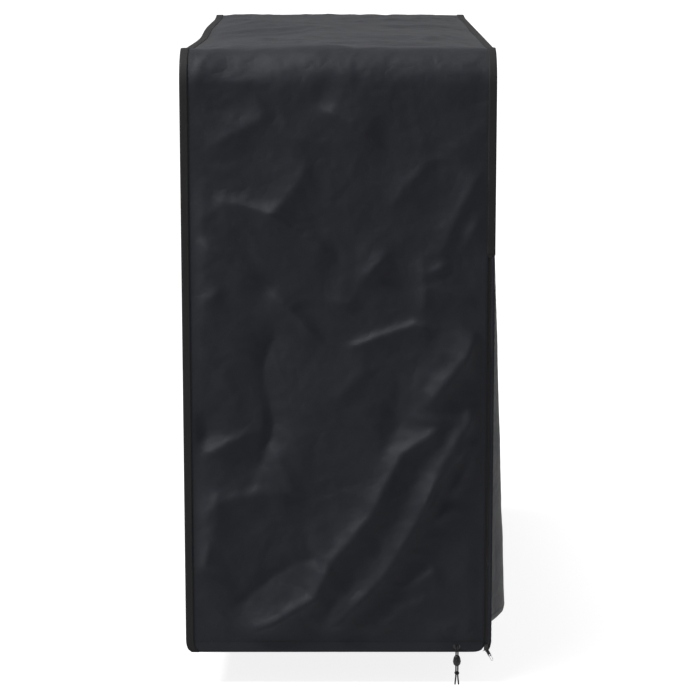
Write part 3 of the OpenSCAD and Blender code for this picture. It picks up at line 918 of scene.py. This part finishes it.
def tooth_mesh(side):
    """A tooth with its foot on the origin's height, reaching across the zip's middle."""
    bm = bmesh.new()
    bmesh.ops.create_cube(bm, size=1)
    for cut in (-0.15, 0.18):
        geometry = bm.verts[:] + bm.edges[:] + bm.faces[:]
        bmesh.ops.bisect_plane(bm, geom=geometry, plane_co=(0, cut, 0), plane_no=(0, 1, 0))
    for vert in bm.verts:
        if -0.16 < vert.co.y < 0.19:
            vert.co.z *= 0.72
            vert.co.x *= 0.8
    bmesh.ops.bevel(bm, geom=bm.edges[:], offset=0.06, segments=1, profile=0.5,
                    affect="EDGES", material=-1)
    tall = 0.4 * PITCH
    middle = Vector((CHAIN_X, -(ZIP_Y + side * (ROOT - REACH / 2)), tall / 2))
    bmesh.ops.scale(bm, vec=(CHAIN_IN - CHAIN_OUT, REACH, tall), verts=bm.verts)
    bmesh.ops.translate(bm, vec=middle, verts=bm.verts)
    return mesh_from(bm, "tooth")


def bead(name, side, low, high):
    """The bead along a row's outer edge, cut into short lengths so that it can bend."""
    bm = bmesh.new()
    bmesh.ops.create_circle(bm, cap_ends=False, radius=0.0009, segments=10)
    bottom = bm.edges[:]
    steps = max(2, round((high - low) / 0.008))
    for _ in range(steps):
        grown = bmesh.ops.extrude_edge_only(bm, edges=bottom)["geom"]
        bmesh.ops.translate(bm, vec=(0, 0, (high - low) / steps),
                            verts=[g for g in grown if isinstance(g, bmesh.types.BMVert)])
        bottom = [g for g in grown if isinstance(g, bmesh.types.BMEdge)
                  and abs(g.verts[0].co.z - g.verts[1].co.z) < 1e-6]
    bmesh.ops.holes_fill(bm, edges=bm.edges[:], sides=0)
    bmesh.ops.recalc_face_normals(bm, faces=bm.faces)
    bmesh.ops.translate(bm, vec=(CHAIN_X, -(ZIP_Y + side * 0.0030), HEM_Z + low), verts=bm.verts)
    return piece_from(bm, name)


def row(name, side, first, count, body, node):
    """A row of teeth and the bead behind them."""
    shift = 0.05 * PITCH if side < 0 else 0.55 * PITCH
    low = FIRST + first * PITCH
    rise = [Matrix.Translation((0, 0, HEM_Z + low + i * PITCH + shift)) for i in range(count)]
    dress(copied(name, tooth_mesh(side), rise, False), teeth_finish, "teeth", body, node)
    dress(bead(name + "_bead", side, low, low + count * PITCH), teeth_finish, "teeth", body)


row("teeth_end_row", -1, 0, end_count, "cover", "zip_teeth_end")
row("teeth_flap_row", 1, 0, flap_count, "both", "zip_teeth_flap")
row("teeth_top_row", 1, flap_count, end_count - flap_count, "cover", "zip_teeth_top")
print("teeth", end_count, flap_count)

# %% [markdown]
# The tapes are thin strips behind the cloth's edges. They meet inside the teeth, so that no light
# comes through, and the flap's tape goes round the corner with the cloth.

# %% Tapes
TAPE, TAPE_W = 0.0006, 0.0179
TAPE_LOW = 0.011
TAPE_TURN = 0.0081


def end_tape(a, b):
    """The tape behind the strip's edge, from its sewn side to the middle of the teeth."""
    u = ZIP_Y - 0.018 + a * TAPE_W
    h = TAPE_LOW + b * (KNEE - 0.013)
    return -END_X + CLOTH + 0.0001 + 0 * a, -u, HEM_Z + h, u, h


def flap_tape(low, high):
    """The tape on the front's edge between two heights, round the corner and along the front."""
    def place(a, b):
        h = low + (high - low) * b
        w = (1 - a) * 0.0196
        x = -END_X + CLOTH + 0.0002 + np.clip(w - TAPE_TURN, 0, 1)
        y = -(ZIP_Y + 0.0001) - np.minimum(w, TAPE_TURN)
        return x, y + ramp(w, TAPE_TURN - 0.001, TAPE_TURN + 0.003) * 0.0002, HEM_Z + h, w, h
    return place


laid("tape_end_cloth", 6, 160, end_tape, TAPE, tape_finish, "tape", "cover", "zip_tape_end")
laid("tape_flap_cloth", 12, 160, flap_tape(TAPE_LOW, FIXED_ZIP - 0.003), -TAPE,
     tape_finish, "tape", "both", "zip_tape_flap")
laid("tape_top_cloth", 12, 20, flap_tape(FIXED_ZIP + 0.0005, KNEE - 0.004), -TAPE,
     tape_finish, "tape", "cover", "zip_tape_top")

# %% [markdown]
# ## Stitching
#
# Rows of thread hold the bindings, the zip and the hem. A stitch is a short, low loaf of thread,
# sunk a little into the cloth. One is made and copied along each row, square to the cloth.

# %% Stitch rows
STITCH, STEP = 0.0030, 0.0041


def stitch_mesh():
    """One stitch, lying along X."""
    bm = bmesh.new()
    bmesh.ops.create_uvsphere(bm, u_segments=6, v_segments=4, radius=0.5)
    bmesh.ops.rotate(bm, verts=bm.verts, matrix=Matrix.Rotation(math.radians(90), 3, "Y"))
    bmesh.ops.scale(bm, vec=(STITCH, 0.0007, 0.0006), verts=bm.verts)
    return mesh_from(bm, "stitch")


one_stitch = stitch_mesh()


def sewn(name, body, points):
    """Stitches along lines of points, each a place and the cloth's outward direction."""
    places = []
    for line in points:
        for (p, n), (q, _) in zip(line, line[1:]):
            along = (q - p).normalized()
            side = n.cross(along).normalized()
            up = along.cross(side)
            turned = Matrix((along, side, up)).transposed().to_4x4()
            places.append(Matrix.Translation((p + q) / 2) @ turned)
    dress(copied(name, one_stitch, places, True), thread_finish, "cord", body)
    print(name, len(places), "stitches")


def on_sheet(place, a, b):
    """Places on a laid sheet, each with the sheet's outward direction there."""
    step = 1e-4
    here, beside, ahead = (np.stack(place(*shares)[:3], 1)
                           for shares in ((a, b), (a + step, b), (a, b + step)))
    normal = np.cross(beside - here, ahead - here)
    normal /= np.linalg.norm(normal, axis=1)[:, None]
    return [(Vector(p), Vector(n)) for p, n in zip(here, normal)]


def row_on(place, a, start, stop, length):
    """A row up a sheet at share a, a stitch at a time."""
    b = np.linspace(start, stop, round(length / STEP) + 1)
    return on_sheet(place, np.full(b.shape, a), b)


def hem_row(place, b, start, stop):
    """A row along a hem at share b, a stitch at a time."""
    first, last = np.stack(place(np.array([start, stop]), np.full(2, b))[:3], 1)
    a = np.linspace(start, stop, round(np.linalg.norm(last - first) / STEP) + 1)
    return on_sheet(place, a, np.full(a.shape, b))


EDGES = (0.10, 0.90)
front_shape = bound(True, KNEE, STRIP)
sewn("back_binding_thread", "cover", [row_on(back_shape, a, 0.001, 0.999, STRIP) for a in EDGES])
sewn("front_binding_thread", "cover",
     [row_on(front_shape, a, 0.001, 0.999, STRIP - KNEE) for a in EDGES])
sewn("flap_binding_thread", "both",
     [row_on(flap_binding_place, 0.86, 0.002, 0.998, FIXED_ZIP - BINDING_W)])
zip_share = KNEE / STRAIGHT * rows_at[1]
sewn("zip_end_thread", "cover", [row_on(strip_place, a, 0.002, zip_share - 0.002, KNEE)
                                 for a in (0.9955, 0.982)])

strip_hem = HEM_H / STRAIGHT * rows_at[1]
far_hem = HEM_H / STRAIGHT * (1 - rows_at[4])
side_hem = HEM_H / (TOP_Z - HEM_Z - FOLD) * 0.9
flap_share = RETURN_SHARE + (1 - RETURN_SHARE) * FLARE_IN / (2 * END_X)
sewn("hem_thread", "cover", [
    hem_row(strip_place, strip_hem, 0.03, 0.99),
    hem_row(strip_place, 1 - far_hem, 0.03, 0.97),
    hem_row(back_place, side_hem, 0.012, 0.988),
    hem_row(front_place, side_hem, flap_share + 0.004, 0.988)])
sewn("flap_hem_thread", "both",
     [hem_row(front_place, side_hem, RETURN_SHARE + 0.012, flap_share - 0.002)])

# %% [markdown]
# ## The cord lock and the knot
#
# The lock is a moulded barrel with a spring button, each a profile spun round. The knot is a real
# overhand knot in the doubled cord: a line that passes over and under itself, drawn tight.

# %% Cord lock


def spun_piece(name, profile, axis, centre, squash):
    """A profile of radius and height pairs turned round an axis."""
    bm = bmesh.new()
    verts = [bm.verts.new((radius, 0, height)) for radius, height in profile]
    edges = [bm.edges.new(pair) for pair in zip(verts, verts[1:])]
    bmesh.ops.spin(bm, geom=verts + edges, cent=(0, 0, 0), axis=(0, 0, 1), angle=2 * math.pi,
                   steps=48, use_merge=True)
    bmesh.ops.remove_doubles(bm, verts=bm.verts, dist=1e-6)
    bmesh.ops.recalc_face_normals(bm, faces=bm.faces)
    bmesh.ops.scale(bm, vec=squash, verts=bm.verts)
    turned = Vector((0, 0, 1)).rotation_difference(Vector(axis)).to_matrix()
    bmesh.ops.rotate(bm, verts=bm.verts, matrix=turned)
    bmesh.ops.translate(bm, vec=centre, verts=bm.verts)
    return piece_from(bm, name)


def mm(*pairs):
    """Pairs of millimetres as pairs of metres."""
    return [(a / 1000, b / 1000) for a, b in pairs]


lock_low, lock_high = ends_of("cord_lock_body")
lock_middle = (lock_low + lock_high) / 2
barrel = mm((0, -11), (3.6, -10.9), (4.6, -10.2), (6.6, -8.0), (7.6, -5.0), (7.9, -2.2),
            (8.15, -1.9), (8.15, -0.9), (7.9, -0.6), (7.5, 2.0), (7.0, 5.0), (6.0, 8.0),
            (4.4, 10.2), (3.6, 10.9), (0, 11))
lock = spun_piece("cord_lock_barrel", barrel, (0, 0, 1), lock_middle, (0.84, 0.985, 1))
soften = lock.modifiers.new("soften", "SUBSURF")
soften.levels = soften.render_levels = 1
dress(lock, lock_finish, "lock", "cord_lock", "cord_lock_body")

button_low, button_high = ends_of("cord_lock_button")
button_r = (button_high.y - button_low.y) / 2
button_middle = (button_low + button_high) / 2
half = (button_high.x - button_low.x) / 2
outer_end = ((0, 0), (0.55, 0), (0.62, 0.3), (0.78, 0.1), (0.96, 0.7), (1, 1.6))
cap = [(button_r * share, deep / 1000 - half) for share, deep in outer_end]
cap += [(button_r, half - 0.001), (button_r * 0.9, half), (0, half)]
button = spun_piece("cord_lock_push_button", cap, (1, 0, 0), button_middle, (1, 1, 1))
dress(button, lock_finish, "lock", "lock_button", "cord_lock_button")

# %% Knot
knot_low, knot_high = ends_of("drawcord_knot")
knot_middle = (knot_low + knot_high) / 2
knot_steps = 90
loop = []
for i in range(knot_steps + 1):
    t = 2 * math.pi * i / knot_steps
    loop.append(knot_middle + Vector(((2 + math.cos(3 * t)) * math.cos(2 * t) * 0.00085,
                                      (2 + math.cos(3 * t)) * math.sin(2 * t) * 0.00125,
                                      math.sin(3 * t) * 0.0026 + 0.0014 * math.sin(2 * t))))
knot = tube("drawcord_overhand_knot", loop, 0.00145)
dress(knot, cord_finish, "cord", "cover", "drawcord_knot")

# %% [markdown]
# The cord in the hem shows when the flap is open. It runs round three upright corners, then out
# with the flare. The flap has its own short run, which swings with it.

# %% The drawcord in the hem
CORD_IN = CLOTH + LINING + CORD_D / 2
run_low, run_high = ends_of("drawcord_long")
cord_up = (run_low.z + run_high.z) / 2 - HEM_Z


def front_run(first, last, count):
    """Places along the tunnel in the front hem, which swings out with the flare."""
    x = np.linspace(first, last, count)
    y = -SIDE_Y - flare_at(x, np.full(count, cord_up)) + CORD_IN
    return [Vector((px, py, HEM_Z + cord_up)) for px, py in zip(x, y)]


def hem_bend(corner, first, last):
    """A quarter turn of the cord inside one of the cover's upright corners."""
    radius = 0.009
    corner, first, last = Vector(corner), Vector(first), Vector(last)
    middle = corner + (first + last) * radius
    return [middle - last * radius * math.cos(t) - first * radius * math.sin(t)
            for t in np.linspace(0, math.pi / 2, 6)]


run_x, run_y, run_z = END_X - CORD_IN, SIDE_Y - CORD_IN, HEM_Z + cord_up
run = [Vector((-run_x, strands["a"][1][0].y, run_z))]
run += hem_bend((-run_x, run_y, run_z), (0, -1, 0), (1, 0, 0))
run += hem_bend((run_x, run_y, run_z), (-1, 0, 0), (0, -1, 0))
run += hem_bend((run_x, -run_y, run_z), (0, 1, 0), (-1, 0, 0))
flap_low, flap_high = ends_of("drawcord_flap")
run += front_run(run_x - 0.012, flap_high.x + 0.006, 120)
flap_run = front_run(flap_low.x + 0.001, flap_high.x - 0.002, 40)
dress(tube("drawcord_long_run", run, CORD_D / 2), cord_finish, "cord", "cover", "drawcord_long")
dress(tube("drawcord_flap_run", flap_run, CORD_D / 2), cord_finish, "cord", "flap", "drawcord_flap")
print("hem cord", len(run), len(flap_run))

# %% [markdown]
# ## The pieces on the cord's ends
#
# For each hanging end, the loop lists the pieces threaded on it: the knot, the lock, its button
# and its spring on the first, none on the second.

for letter, (strand, line) in strands.items():
    on_it = [knot, lock, button, bpy.data.objects["cord_lock_spring"]] if letter == "a" else []

print("sheets", 3)

# %% [markdown]
# ## Finishes on the solids that stay
#
# Slider, pull, ring, eyelet, spring and stops only need a finish.

# %% Dress the solids
kept = ((slider_finish, "slider_body", "slider_bridge"), (pull_finish, "pull_tab"),
        (ring_finish, "pull_ring"), (eyelet_finish, "eyelet", "eyelet_washer"),
        (spring_finish, "cord_lock_spring"), (cord_finish, "drawcord_short"),
        (teeth_finish, "zip_stop_end", "zip_stop_flap", "zip_closed_stop"))
for finish, *nodes in kept:
    for node in nodes:
        materials = bpy.data.objects[node].data.materials
        materials.clear()
        materials.append(finish)
print("solids dressed", sum(len(line) - 1 for line in kept))

# %% [markdown]
# ## Floor and light
#
# A pale floor just under the cord's tails gives off light itself, so the cover stands on white
# with a faint shadow. A broad sun lights the top, a soft lamp to the left rakes the folds, and a
# weak one reaches the front.

# %% Floor
floor_z = cad_box[0].z - 0.006
bm = bmesh.new()
bmesh.ops.create_circle(bm, cap_ends=True, radius=60, segments=64)
bmesh.ops.translate(bm, vec=(0, 0, floor_z), verts=bm.verts)
floor = piece_from(bm, "floor", smooth=False)
floor_finish, floor_shader, at = new_material(
    "lit_floor", {"Specular IOR Level": 0.1, "Emission Strength": 0.86,
                  "Emission Color": (1, 1, 1, 1)})
speck = noise(at, coords(at, "Object"), 30, 2)
drive(floor_shader, at, colour=blend_colours(at, speck, (0.17, 0.17, 0.17), (0.19, 0.19, 0.19)),
      roughness=0.75 + speck * 0.1)
floor.data.materials.append(floor_finish)

# %% Light
sky = bpy.data.worlds.new("studio")
bpy.context.scene.world = sky
sky.use_nodes = True
background = sky.node_tree.nodes["Background"].inputs
background["Color"].default_value = (1, 1, 1, 1)
background["Strength"].default_value = 0.5


def soft_light(name, place, aim, size, watts):
    """A round area lamp, size metres across, pointed at a place."""
    data = bpy.data.lights.new(name, "AREA")
    data.shape, data.size, data.energy = "DISK", size, watts
    made = placed(name, data)
    made.location = place
    made.rotation_euler = (Vector(aim) - Vector(place)).to_track_quat("-Z", "Y").to_euler()


soft_light("key", (-1.75, 3.0, 2.0), (-0.7, 0, -0.6), 0.7, 190)
soft_light("side", (1.8, -3.6, 2.4), (0.1, 0, -0.6), 1.4, 40)
sun = bpy.data.lights.new("above", "SUN")
sun.energy, sun.angle = 4.5, math.radians(30)
above_lamp = placed("above", sun)
above_lamp.rotation_euler = Vector((0.14, -0.36, -1)).to_track_quat("-Z", "Y").to_euler()
bpy.context.scene.view_settings.view_transform = "Standard"
print("lights", len(bpy.data.lights))
